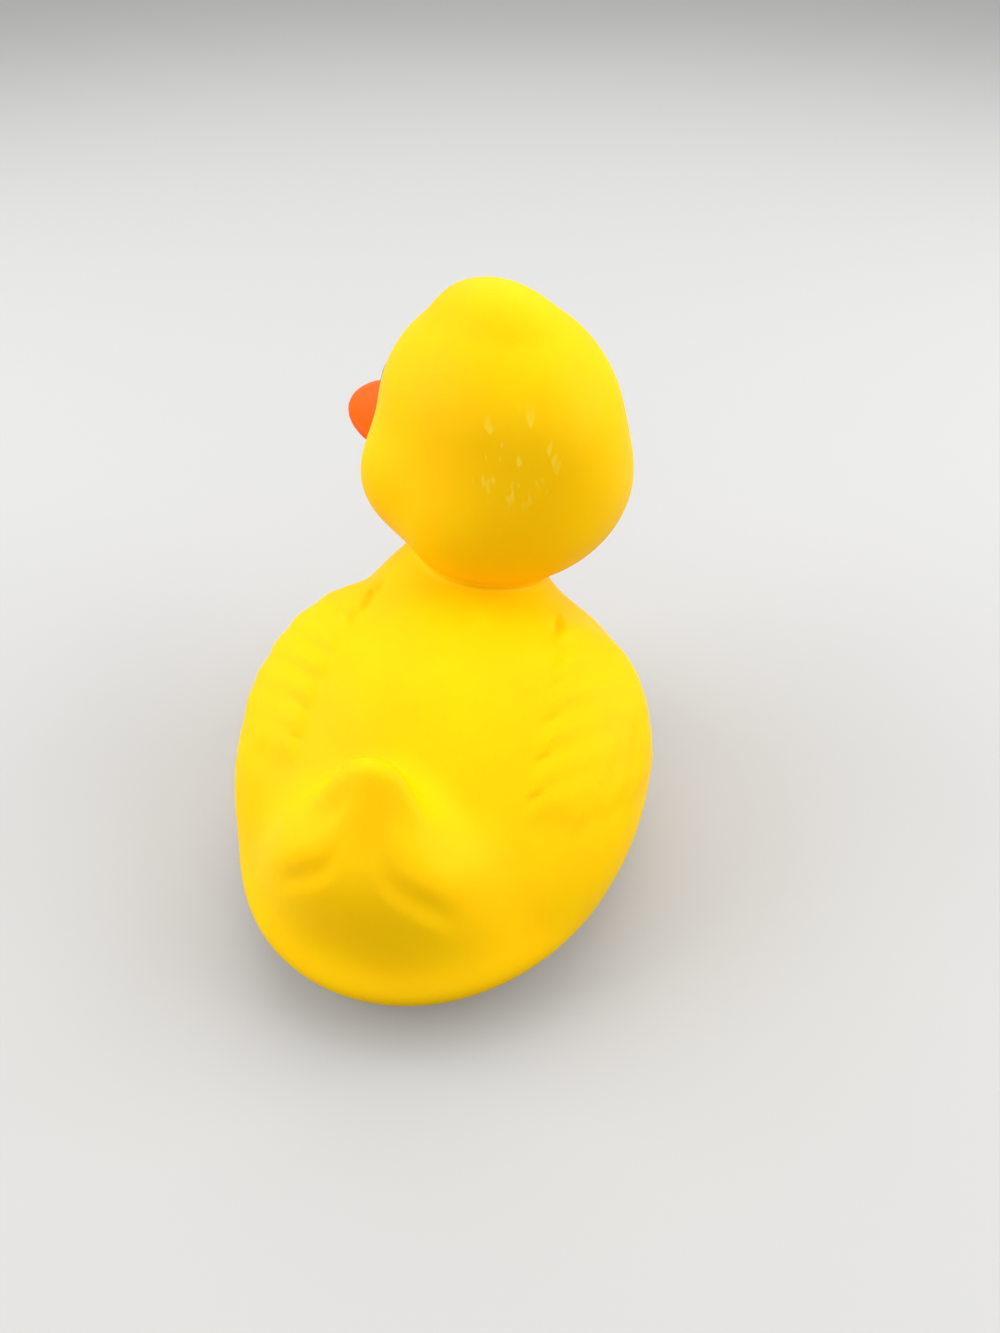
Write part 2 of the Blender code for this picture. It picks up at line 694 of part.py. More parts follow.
def cylinder(name, group, radius, low, high):
    bm = bmesh.new()
    middle = Matrix.Translation((0, 0, (low + high) / 2))
    bmesh.ops.create_cone(
        bm,
        cap_ends=True,
        segments=ROUND_STEPS,
        radius1=radius,
        radius2=radius,
        depth=high - low,
        matrix=middle,
    )
    mesh = bpy.data.meshes.new(name)
    bm.to_mesh(mesh)
    bm.free()
    return new_object(name, mesh, group)


def box(name, group, low, high):
    bm = bmesh.new()
    low, high = Vector(low), Vector(high)
    place = Matrix.Translation((low + high) / 2) @ Matrix.Diagonal((*(high - low), 1.0))
    bmesh.ops.create_cube(bm, size=1.0, matrix=place)
    mesh = bpy.data.meshes.new(name)
    bm.to_mesh(mesh)
    bm.free()
    return new_object(name, mesh, group)


def boolean(item, tool, operation):
    change = item.modifiers.new(tool.name, "BOOLEAN")
    change.object = tool
    change.operation = operation
    change.solver = "EXACT"
    as_cutter(tool)


def material(name, colour, roughness):
    finish = bpy.data.materials.new(name)
    finish.use_nodes = True
    shader = finish.node_tree.nodes["Principled BSDF"]
    shader.inputs["Base Color"].default_value = (*colour, 1.0)
    shader.inputs["Roughness"].default_value = roughness
    shader.inputs["Metallic"].default_value = 0.0
    return finish


def smooth_shade(item, angle):
    item.data.shade_smooth()
    item.data.set_sharp_from_angle(angle=angle)


# Sub-parts

def build_body(parts, cutters):
    body = drawn_skin("duck_body", parts, duck_form, 0.0, OUTER_GRAIN, OUTER_TRIANGLES, True)
    cavity = drawn_skin("cavity", cutters, cavity_form, SKIN_WALL, INNER_GRAIN, INNER_TRIANGLES, False)
    collar = cylinder("collar", cutters, BORE_RADIUS + COLLAR_WALL, -SKIN_WALL, COLLAR_HEIGHT)
    collar.location.x = SQUEAKER_X
    boolean(cavity, collar, "DIFFERENCE")
    recess_steps = (
        (RECESS_RADIUS, RECESS_DEPTH),
        (RECESS_RADIUS, -SKIN_WALL),
        (0.0, -SKIN_WALL),
        (0.0, COLLAR_HEIGHT + SKIN_WALL),
        (BORE_RADIUS, COLLAR_HEIGHT + SKIN_WALL),
        (BORE_RADIUS, RECESS_DEPTH),
    )
    bore = turned_object("squeaker_bore", cutters, recess_steps)
    bore.location.x = SQUEAKER_X
    boolean(body, cavity, "DIFFERENCE")
    boolean(body, bore, "DIFFERENCE")
    bake(body)

    vinyl = material("yellow_vinyl", (0.95, 0.62, 0.0), 0.42)
    bill_paint = material("orange_paint", (0.95, 0.17, 0.0), 0.25)
    eye_paint = material("black_paint", (0.01, 0.01, 0.012), 0.2)
    for finish in (vinyl, bill_paint, eye_paint):
        body.data.materials.append(finish)
    middles = np.empty(len(body.data.polygons) * 3)
    body.data.polygons.foreach_get("center", middles)
    middles = middles.reshape(-1, 3)
    outside = duck_form(middles) > -SKIN_WALL / 2
    on_bill = outside & (bill_form(middles) < np.minimum(head_form(middles), SKIN_WALL / 2))
    on_eye = outside & (eye_reach(middles) < 1.0) & (np.abs(head_form(middles)) < EYE_SWELL * 2)
    slots = np.where(on_bill, 1, np.where(on_eye, 2, 0))
    body.data.polygons.foreach_set("material_index", slots.astype(np.int32))
    smooth_shade(body, math.radians(50))
    return body


def build_case(parts, finish):
    neck = BORE_RADIUS - CLEARANCE
    flange = BORE_RADIUS + FLANGE_OVERHANG
    outline = (
        (neck, CASE_HEIGHT),
        (neck, COLLAR_HEIGHT + CLEARANCE + FLANGE_THICKNESS),
        (flange, COLLAR_HEIGHT + CLEARANCE + FLANGE_THICKNESS),
        (flange, COLLAR_HEIGHT + CLEARANCE),
        (neck, COLLAR_HEIGHT + CLEARANCE),
        (neck, RECESS_DEPTH - CLEARANCE),
        (flange, RECESS_DEPTH - CLEARANCE),
        (flange, RECESS_DEPTH - CLEARANCE - FLANGE_THICKNESS),
        (AIR_HOLE_RADIUS, RECESS_DEPTH - CLEARANCE - FLANGE_THICKNESS),
        (AIR_HOLE_RADIUS, case_floor()),
        (neck - CASE_WALL, case_floor()),
        (neck - CASE_WALL, CASE_HEIGHT),
    )
    case = turned_object("squeaker_case", parts, outline)
    case.location.x = SQUEAKER_X
    case.data.materials.append(finish)
    smooth_shade(case, math.radians(35))
    return case


def case_floor():
    return RECESS_DEPTH - CLEARANCE - FLANGE_THICKNESS + CASE_WALL


def seat_top():
    return case_floor() + CLEARANCE + SEAT_DISC_THICKNESS


def build_reed_seat(parts, cutters, finish):
    """A disc that carries a half-round pipe, with an air channel up its flat side."""
    disc_radius = BORE_RADIUS - CLEARANCE - CASE_WALL - CLEARANCE
    pipe_top = seat_top() + SEAT_PIPE_HEIGHT
    seat = cylinder("squeaker_reed_seat", parts, disc_radius, case_floor() + CLEARANCE, seat_top())
    pipe = cylinder("seat_pipe", cutters, SEAT_PIPE_RADIUS, seat_top() - CLEARANCE, pipe_top)
    front = box(
        "seat_pipe_front",
        cutters,
        (0, -SEAT_PIPE_RADIUS * 2, 0),
        (SEAT_PIPE_RADIUS * 2, SEAT_PIPE_RADIUS * 2, pipe_top * 2),
    )
    channel = cylinder("seat_channel", cutters, SEAT_CHANNEL_RADIUS, 0, pipe_top - CASE_WALL)
    boolean(pipe, front, "DIFFERENCE")
    boolean(seat, pipe, "UNION")
    boolean(seat, channel, "DIFFERENCE")
    bake(seat)
    seat.location.x = SQUEAKER_X
    seat.data.materials.append(finish)
    smooth_shade(seat, math.radians(35))
    return seat


def build_reed(parts, finish):
    low = (CLEARANCE, -REED_WIDTH / 2, seat_top() + CLEARANCE)
    high = (CLEARANCE + REED_THICKNESS, REED_WIDTH / 2, seat_top() + SEAT_PIPE_HEIGHT)
    reed = box("squeaker_reed", parts, low, high)
    reed.location.x = SQUEAKER_X
    reed.data.materials.append(finish)
    return reed


def centre_on_origin(parts, body):
    """Moves every piece alike, so that the origin lies under the middle of the skin's outline."""
    points = np.empty(len(body.data.vertices) * 3)
    body.data.vertices.foreach_get("co", points)
    points = points.reshape(-1, 3)
    middle = (points.min(axis=0) + points.max(axis=0)) / 2
    for item in parts.objects:
        item.location.x -= middle[0]
        item.location.y -= middle[1]


def build():
    clear_scene()
    parts = collection(PART_NAME)
    cutters = collection("cutters")
    body = build_body(parts, cutters)
    case_plastic = material("white_plastic", (0.75, 0.75, 0.72), 0.4)
    reed_plastic = material("clear_plastic", (0.6, 0.62, 0.62), 0.3)
    build_case(parts, case_plastic)
    build_reed_seat(parts, cutters, case_plastic)
    build_reed(parts, reed_plastic)
    centre_on_origin(parts, body)


build()
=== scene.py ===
"""Finish of the squeaking vinyl bath duck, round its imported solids.

The skin is drawn again on the duck's own form with a fine grain, then painted and lit.
Metres, +Z up.
"""

import math

import bmesh
import bpy
import numpy as np
from mathutils import Matrix, Vector


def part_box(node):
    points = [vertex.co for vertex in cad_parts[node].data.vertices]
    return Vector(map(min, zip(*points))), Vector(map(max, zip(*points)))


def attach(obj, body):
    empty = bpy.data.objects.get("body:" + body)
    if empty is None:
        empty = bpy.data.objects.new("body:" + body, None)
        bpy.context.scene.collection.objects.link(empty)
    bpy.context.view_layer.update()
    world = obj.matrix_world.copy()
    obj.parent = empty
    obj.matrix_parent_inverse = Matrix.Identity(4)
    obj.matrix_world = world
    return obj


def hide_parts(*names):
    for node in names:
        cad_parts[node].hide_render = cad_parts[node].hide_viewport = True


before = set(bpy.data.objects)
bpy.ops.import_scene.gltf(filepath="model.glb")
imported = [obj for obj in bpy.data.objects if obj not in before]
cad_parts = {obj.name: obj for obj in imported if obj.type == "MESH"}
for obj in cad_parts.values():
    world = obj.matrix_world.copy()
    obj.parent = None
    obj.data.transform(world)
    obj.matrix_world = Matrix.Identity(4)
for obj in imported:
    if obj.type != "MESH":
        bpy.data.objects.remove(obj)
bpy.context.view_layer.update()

MM = 0.001

# Belly, the round front and middle of the body
BELLY_X = 0.2 * MM
BELLY_HEIGHT = 18.0 * MM
BELLY_HALF_LENGTH = 38.0 * MM
BELLY_HALF_WIDTH = 34.2 * MM
BELLY_HALF_HEIGHT = 21.7 * MM

# Rump, the round stern under the tail
RUMP_X = -15.0 * MM
RUMP_HEIGHT = 11.5 * MM
RUMP_HALF_LENGTH = 32.7 * MM
RUMP_HALF_WIDTH = 29.9 * MM
RUMP_HALF_HEIGHT = 8.6 * MM
BODY_BLEND = 10.8 * MM
BASE_EDGE_ROUND = 2.4 * MM

# Shoulders, the dome under the neck
SHOULDER_X = 3.1 * MM
SHOULDER_HEIGHT = 30.5 * MM
SHOULDER_HALF_LENGTH = 21.8 * MM
SHOULDER_HALF_WIDTH = 25.6 * MM
SHOULDER_HALF_HEIGHT = 13.5 * MM

# Neck, a short waist from the shoulders up into the head
NECK_FOOT_X = 19.3 * MM
NECK_FOOT_SIDE = 5.0 * MM
NECK_FOOT_HEIGHT = 33.9 * MM
NECK_FOOT_RADIUS = 13.8 * MM
NECK_X = 26.1 * MM
NECK_HEIGHT = 51.2 * MM
NECK_RADIUS = 7.0 * MM
NECK_BLEND = 8.0 * MM

# Head, turned to the duck's left about an upright line through its middle
HEAD_TURN = math.radians(59.8)
HEAD_X = 27.6 * MM
HEAD_HEIGHT = 65.2 * MM
HEAD_HALF_LENGTH = 22.2 * MM
HEAD_HALF_WIDTH = 18.8 * MM
HEAD_HALF_HEIGHT = 21.7 * MM
JOWL_X = -4.2 * MM
JOWL_DROP = 9.7 * MM
JOWL_HALF_LENGTH = 16.6 * MM
JOWL_HALF_WIDTH = 21.9 * MM
JOWL_HALF_HEIGHT = 14.2 * MM
JOWL_BLEND = 6.9 * MM
CHEEK_X = 6.7 * MM
CHEEK_SIDE = 11.1 * MM
CHEEK_DROP = 6.7 * MM
CHEEK_RADIUS = 10.6 * MM
CREST_X = 1.1 * MM
CREST_RISE = 16.9 * MM
CREST_HALF_LENGTH = 11.2 * MM
CREST_HALF_WIDTH = 7.9 * MM
CREST_HALF_HEIGHT = 6.6 * MM
CREST_CREASE = 2.4 * MM
FACE_BLEND = 3.8 * MM
NAPE_CREASE = 2.0 * MM

# Bill, two flattened lobes with the mouth line between them
UPPER_BILL_X = 23.6 * MM
UPPER_BILL_DROP = 7.6 * MM
UPPER_BILL_HALF_LENGTH = 13.3 * MM
UPPER_BILL_HALF_WIDTH = 10.6 * MM
UPPER_BILL_HALF_THICKNESS = 2.8 * MM
UPPER_BILL_TILT = math.radians(8.0)
LOWER_BILL_X = 18.6 * MM
LOWER_BILL_DROP = 9.8 * MM
LOWER_BILL_HALF_LENGTH = 12.0 * MM
LOWER_BILL_HALF_WIDTH = 9.0 * MM
LOWER_BILL_HALF_THICKNESS = 3.4 * MM
BILL_ROOT_BLEND = 1.2 * MM
MOUTH_CREASE = 1.2 * MM

# Eyes, low oval swellings above the cheeks
EYE_ANGLE = math.radians(24.0)
EYE_RISE = 4.5 * MM
EYE_HALF_WIDTH = 2.8 * MM
EYE_HALF_HEIGHT = 4.2 * MM
EYE_SWELL = 0.4 * MM

# Tail, an upright wedge with a round tip
TAIL_TIP_X = -30.2 * MM
TAIL_SIDE = 1.0 * MM
TAIL_TIP_HEIGHT = 38.2 * MM
TAIL_TIP_RADIUS = 5.4 * MM
TAIL_ROOT_X = -33.3 * MM
TAIL_ROOT_HEIGHT = 20.5 * MM
TAIL_ROOT_HALF_WIDTH = 16.2 * MM
TAIL_FLATNESS = 0.62
TAIL_BLEND = 5.7 * MM

# Tail feathers, whose edges fall away to both sides of a line up the wedge
TAIL_FEATHER_SIDE = 0.2 * MM
TAIL_FEATHER_TOP = 47.5 * MM
TAIL_GROOVE_DROPS = (5.5 * MM, 12.6 * MM)
TAIL_GROOVE_DEPTHS = (0.38 * MM, 0.38 * MM)
TAIL_FEATHER_SLOPE = 0.8
TAIL_GROOVE_WIDTH = 3.0 * MM
TAIL_BANK_WIDTH = 3.4 * MM
TAIL_BANK_SHARE = 0.15
TAIL_FEATHER_INNER = 2.0 * MM
TAIL_FEATHER_FULL = 5.0 * MM
TAIL_FEATHER_FADE = 10.0 * MM
TAIL_FEATHER_OUTER = 16.0 * MM
TAIL_FEATHER_FRONT = -27.0 * MM
TAIL_FEATHER_FRONT_END = -22.0 * MM

# Wings, raised pads that rise towards the shoulder
WING_X = -7.8 * MM
WING_SIDE = 19.8 * MM
WING_HEIGHT = 24.9 * MM
WING_HALF_LENGTH = 22.1 * MM
WING_HALF_WIDTH = 13.7 * MM
WING_HALF_HEIGHT = 10.4 * MM
WING_RISE = math.radians(30.3)
WING_BLEND = 5.7 * MM
WING_EDGE_STEP = 0.7 * MM
WING_AXIS_INSET = 6.0 * MM
WING_INNER_ANGLE = math.radians(10.0)
WING_FRONT_END = 27.0 * MM
WING_REAR_END = -9.8 * MM
WING_REAR_SWEEP = 0.2
WING_MARGIN = 11.4 * MM
WING_MARGIN_END = 17.1 * MM
WING_LOWER_SHARE = 0.5

# Covert feathers, short ones that overlap like tiles down the wing's upper inner edge
COVERT_FIRST_LEFT = 12.4 * MM
COVERT_FIRST_RIGHT = 16.8 * MM
COVERT_PITCH_LEFT = 4.6 * MM
COVERT_PITCH_RIGHT = 6.0 * MM
COVERT_SWEEP_LEFT = 0.36
COVERT_SWEEP_RIGHT = 0.65
COVERT_SWEEP_CHANGE_LEFT = -0.01 / MM
COVERT_SWEEP_CHANGE_RIGHT = 0.013 / MM
COVERT_INNER_LEFT = 1.0 * MM
COVERT_INNER_RIGHT = 1.8 * MM
COVERT_INNER_LEAN_LEFT = 0.05
COVERT_INNER_LEAN_RIGHT = 0.05
COVERT_SCALLOP = 1.4 * MM
COVERT_REACH = 12.5 * MM
COVERT_SPREAD = 0.33
COVERT_ONSET = -1.0
COVERT_ONSET_END = -0.5
COVERT_FRONT_STEP_LEFT = 0.7 * MM
COVERT_FRONT_STEP_RIGHT = 0.34 * MM
COVERT_REAR_STEP = 0.22 * MM
COVERT_OUTER_SHARE = 0.45
COVERT_FADE_START = 0.3
COVERT_FADE_END = 0.7
COVERT_RIM_LEFT = 0.9
COVERT_RIM_RIGHT = 0.4
COVERT_RIM_WIDTH = 3.9 * MM
COVERT_STEP_SHARE = 0.42

# Flight feathers, long and stacked down the wing's outer side
FLIGHT_FIRST_ANGLE = math.radians(61.0)
FLIGHT_PITCH_ANGLE = math.radians(13.5)
FLIGHT_FEATHERS = 4
FLIGHT_LENGTH = 14.0 * MM
FLIGHT_FADE_START = 9.0 * MM
FLIGHT_TIP_STEP = 3.0 * MM
FLIGHT_TIP_ROUND = 1.6 * MM
FLIGHT_STEP = 0.3 * MM
FLIGHT_STEP_SHARE = 0.3
FLIGHT_OVERLAP = 1.9 * MM
EDGE_SOFTNESS = 1.3 * MM
REAR_SOFTNESS = 3.2 * MM

# Dimple where the wing's front end meets the body
DIMPLE_FORWARD = 22.8 * MM
DIMPLE_REACH = 1.0 * MM
DIMPLE_RADIUS = 2.8 * MM
DIMPLE_DEPTH_LEFT = 0.15 * MM
DIMPLE_DEPTH_RIGHT = 0.5 * MM

# Grain of the drawn meshes
SKIN_GRAIN = 0.6 * MM
CAVITY_GRAIN = 1.8 * MM
BLANK_SUBDIVISIONS = 4
BLANK_STATIONS = (0.0, 0.33, 0.67, 1.0)
SLOPE_STEP = 0.05 * MM
LEAST_SLOPE = 0.2
SETTLE_ROUNDS = 9
EXACT_ROUNDS = 3
SPACING_PULL = 0.5
FLOOR_TOLERANCE = 0.002 * MM

# Squeaker hole in the base and the collar round it
SKIN_WALL = 2.0 * MM
BORE_RADIUS = 6.5 * MM
COLLAR_WALL = 4.5 * MM
COLLAR_HEIGHT = 5.0 * MM
RECESS_RADIUS = 9.0 * MM
RECESS_DEPTH = 1.6 * MM
BORE_STEPS = 96
BORE_MERGE = 0.01 * MM
SHARP_ANGLE = math.radians(50.0)

# Colours and finishes
VINYL_PALE = (0.985, 0.63, 0.001, 1.0)
VINYL_DEEP = (0.97, 0.5, 0.001, 1.0)
BILL_ORANGE = (0.96, 0.11, 0.001, 1.0)
EYE_BLACK = (0.012, 0.012, 0.014, 1.0)
CASE_WHITE = (0.78, 0.78, 0.74, 1.0)
REED_GREY = (0.62, 0.64, 0.64, 1.0)
FLOOR_COLOUR = (0.5, 0.5, 0.495, 1.0)
FLOOR_BOUNCE = (0.12, 0.12, 0.12, 1.0)
VINYL_ROUGHNESS = 0.48
VINYL_SHEEN = 0.05
BILL_ROUGHNESS = 0.3
EYE_ROUGHNESS = 0.15
VINYL_GRAIN = 0.35 * MM
VINYL_GRAIN_DEPTH = 0.02 * MM
VINYL_PATCH = 14.0 * MM
SCUFF_PALE = (1.0, 0.76, 0.08, 1.0)
SCUFF_LIFT = 0.5
SCUFF_WIDTH = 1.5 * MM
SCUFF_START = 0.57
SCUFF_FULL = 0.67
SCUFF_STRETCH = 5.0
SCUFF_INNER = 4.0 * MM
SCUFF_OUTER = 9.0 * MM
VINYL_GRAIN_BUMP = 0.25
VINYL_GLOSS_CHANGE = 0.12
VINYL_IOR = 1.5
SOFT_LIGHT_SHARE = 0.25
SOFT_LIGHT_REACH = (1.0, 0.35, 0.05)
SOFT_LIGHT_SCALE = 2.0 * MM
PAINT_WAVER = 0.3
PAINT_WAVER_SIZE = 1.5 * MM
BILL_PAINT_START = -0.12
BILL_PAINT_END = 0.06
EYE_PAINT_START = -0.08
EYE_PAINT_END = 0.04
CASE_ROUGHNESS = 0.4
REED_ROUGHNESS = 0.25
PLASTIC_DULL = 0.9
PLASTIC_GLOSS_CHANGE = 0.08
PLASTIC_GRAIN = 0.4 * MM
PLASTIC_GRAIN_DEPTH = 0.01 * MM
PLASTIC_GRAIN_BUMP = 0.2
PLASTIC_PATCH = 4.0 * MM
FLOOR_ROUGHNESS = 0.9
FLOOR_SHEEN = 0.1

# The squeaker is at the middle of the duck's own form, so its place in the frame gives the form's
case_low, case_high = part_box("squeaker_case")
FORM_PLACE = Vector(((case_low.x + case_high.x) / 2, (case_low.y + case_high.y) / 2, 0.0))
SCUFF_PLACE = FORM_PLACE + Vector((9.1 * MM, -7.9 * MM, 70.8 * MM))
SCUFF_LIE = (0.0, math.radians(42.0), math.radians(17.0))

# Studio and camera
FLOOR_HALF_SIZE = 4.0
WORLD_STRENGTH = 0.72
LAMP_DISTANCE = 0.6
TOP_DIRECTION = (0.55, 0.15, 1.0)
TOP_SIZE = 0.7
TOP_POWER = 2.0
SIDE_HEIGHT = 0.55
SIDE_SIZE = 0.5
LEFT_POWER = 2.3
RIGHT_POWER = 2.6
REAR_HEIGHT = 0.4
REAR_POWER = 0.35
SENSOR = 36.0
LENS = 27.0
VIEW_HEADING = math.radians(16.97)
VIEW_FALL = math.radians(41.99)
VIEW_DISTANCE = 179.6 * MM
LOOK_POINT = FORM_PLACE + Vector((12.75 * MM, -4.51 * MM, 26.1 * MM))

# Form of the duck: each function gives the distance of points from one surface, minus inside

def ellipsoid(points, centre, radii):
    scaled = (points - np.array(centre)) / np.array(radii)
    reach = np.sqrt((scaled ** 2).sum(axis=1))
    slope = np.sqrt(((scaled / np.array(radii)) ** 2).sum(axis=1))
    return reach * (reach - 1.0) / np.maximum(slope, 1e-6)


def tapered_column(points, start, end, start_radius, end_radius):
    """A ball at each end and the cone that touches both."""
    start = np.array(start)
    axis = np.array(end) - start
    length = np.sqrt((axis ** 2).sum())
    taper = (start_radius - end_radius) / length
    offset = points - start
    along = offset @ axis / length
    across = np.sqrt(np.maximum((offset ** 2).sum(axis=1) - along ** 2, 0.0))
    straight = math.sqrt(1.0 - taper ** 2)
    station = np.clip(along - across * taper / straight, 0.0, length)
    radius = start_radius - taper * station
    return np.hypot(across, along - station) - radius


def joined(first, second, width):
    """The nearer of two surfaces, with a fillet of the given width where they meet."""
    overlap = np.maximum(width - np.abs(first - second), 0.0) / width
    return np.minimum(first, second) - overlap ** 2 * width / 4.0


def common(first, second, width):
    """What lies inside both surfaces, with its edge rounded over the given width."""
    return -joined(-first, -second, width)


def turned(points, angle):
    """Points seen from a frame that is turned left by the angle."""
    cosine, sine = math.cos(angle), math.sin(angle)
    x, y, z = points.T
    return np.column_stack((x * cosine + y * sine, y * cosine - x * sine, z))


def pitched(points, angle):
    """Points seen from a frame whose front is lifted by the angle."""
    cosine, sine = math.cos(angle), math.sin(angle)
    x, y, z = points.T
    return np.column_stack((x * cosine + z * sine, y, z * cosine - x * sine))


def mirrored(points):
    """Both sides of the duck folded onto its left side."""
    return np.column_stack((points[:, 0], np.abs(points[:, 1]), points[:, 2]))


def ramp(values, start, end):
    """Smooth step from 0 at start to 1 at end."""
    share = np.clip((values - start) / (end - start), 0.0, 1.0)
    return share * share * (3.0 - 2.0 * share)


def in_head(points):
    return turned(points - np.array((HEAD_X, 0.0, HEAD_HEIGHT)), HEAD_TURN)


def head_form(points):
    local = in_head(points)
    skull = ellipsoid(local, (0, 0, 0), (HEAD_HALF_LENGTH, HEAD_HALF_WIDTH, HEAD_HALF_HEIGHT))
    jowl = ellipsoid(
        local,
        (JOWL_X, 0, -JOWL_DROP),
        (JOWL_HALF_LENGTH, JOWL_HALF_WIDTH, JOWL_HALF_HEIGHT),
    )
    cheeks = ellipsoid(mirrored(local), (CHEEK_X, CHEEK_SIDE, -CHEEK_DROP), (CHEEK_RADIUS,) * 3)
    crest = ellipsoid(
        local,
        (CREST_X, 0, CREST_RISE),
        (CREST_HALF_LENGTH, CREST_HALF_WIDTH, CREST_HALF_HEIGHT),
    )
    form = joined(skull, jowl, JOWL_BLEND)
    form = joined(form, cheeks, FACE_BLEND)
    return joined(form, crest, CREST_CREASE)


def bill_form(points):
    local = in_head(points)
    upper_centre = np.array((UPPER_BILL_X, 0, -UPPER_BILL_DROP))
    upper = ellipsoid(
        pitched(local - upper_centre, UPPER_BILL_TILT),
        (0, 0, 0),
        (UPPER_BILL_HALF_LENGTH, UPPER_BILL_HALF_WIDTH, UPPER_BILL_HALF_THICKNESS),
    )
    lower = ellipsoid(
        local,
        (LOWER_BILL_X, 0, -LOWER_BILL_DROP),
        (LOWER_BILL_HALF_LENGTH, LOWER_BILL_HALF_WIDTH, LOWER_BILL_HALF_THICKNESS),
    )
    return joined(upper, lower, MOUTH_CREASE)


def tail_form(points):
    """The wedge is a tapered column that is thin along the duck's length."""
    squeezed = (points - np.array((TAIL_TIP_X, TAIL_SIDE, 0))) / np.array((TAIL_FLATNESS, 1, 1))
    root_x = (TAIL_ROOT_X - TAIL_TIP_X) / TAIL_FLATNESS
    column = tapered_column(
        squeezed,
        (0, 0, TAIL_TIP_HEIGHT),
        (root_x, 0, TAIL_ROOT_HEIGHT),
        TAIL_TIP_RADIUS,
        TAIL_ROOT_HALF_WIDTH,
    )
    return column * TAIL_FLATNESS


def in_wing(points):
    centre = np.array((WING_X, WING_SIDE, WING_HEIGHT))
    return pitched(mirrored(points) - centre, WING_RISE)


def wing_form(points):
    radii = (WING_HALF_LENGTH, WING_HALF_WIDTH, WING_HALF_HEIGHT)
    return ellipsoid(in_wing(points), (0, 0, 0), radii)


def body_form(points):
    belly = ellipsoid(
        points,
        (BELLY_X, 0, BELLY_HEIGHT),
        (BELLY_HALF_LENGTH, BELLY_HALF_WIDTH, BELLY_HALF_HEIGHT),
    )
    rump = ellipsoid(
        points,
        (RUMP_X, 0, RUMP_HEIGHT),
        (RUMP_HALF_LENGTH, RUMP_HALF_WIDTH, RUMP_HALF_HEIGHT),
    )
    shoulders = ellipsoid(
        points,
        (SHOULDER_X, 0, SHOULDER_HEIGHT),
        (SHOULDER_HALF_LENGTH, SHOULDER_HALF_WIDTH, SHOULDER_HALF_HEIGHT),
    )
    neck = tapered_column(
        points,
        (NECK_FOOT_X, NECK_FOOT_SIDE, NECK_FOOT_HEIGHT),
        (NECK_X, 0, NECK_HEIGHT),
        NECK_FOOT_RADIUS,
        NECK_RADIUS,
    )
    form = joined(belly, rump, BODY_BLEND)
    form = joined(form, shoulders, BODY_BLEND)
    form = joined(form, neck, NECK_BLEND)
    form = joined(form, wing_form(points), WING_BLEND)
    return joined(form, tail_form(points), TAIL_BLEND)


def duck_form(points):
    form = joined(body_form(points), head_form(points), NAPE_CREASE)
    form = joined(form, bill_form(points), BILL_ROOT_BLEND)
    return common(form, -points[:, 2], BASE_EDGE_ROUND)


def cavity_form(points):
    return duck_form(points) + SKIN_WALL


# Relief that stands on the form

def shingle(phase, step_share):
    """Rises along each overlapping feather from 0 to 1 and drops within its last share."""
    share = phase - np.floor(phase)
    return ramp(share, 0.0, 1.0 - step_share) * (1.0 - ramp(share, 1.0 - step_share, 1.0))


def wing_places(points):
    """How far forward, how far out over the wing's back, and at what angle round it."""
    local = in_wing(points)
    angle = np.arctan2(local[:, 1] + WING_AXIS_INSET, local[:, 2])
    return local[:, 0], (angle - WING_INNER_ANGLE) * WING_HALF_WIDTH, angle


def by_side(points, left_value, right_value):
    return np.where(points[:, 1] > 0, left_value, right_value)


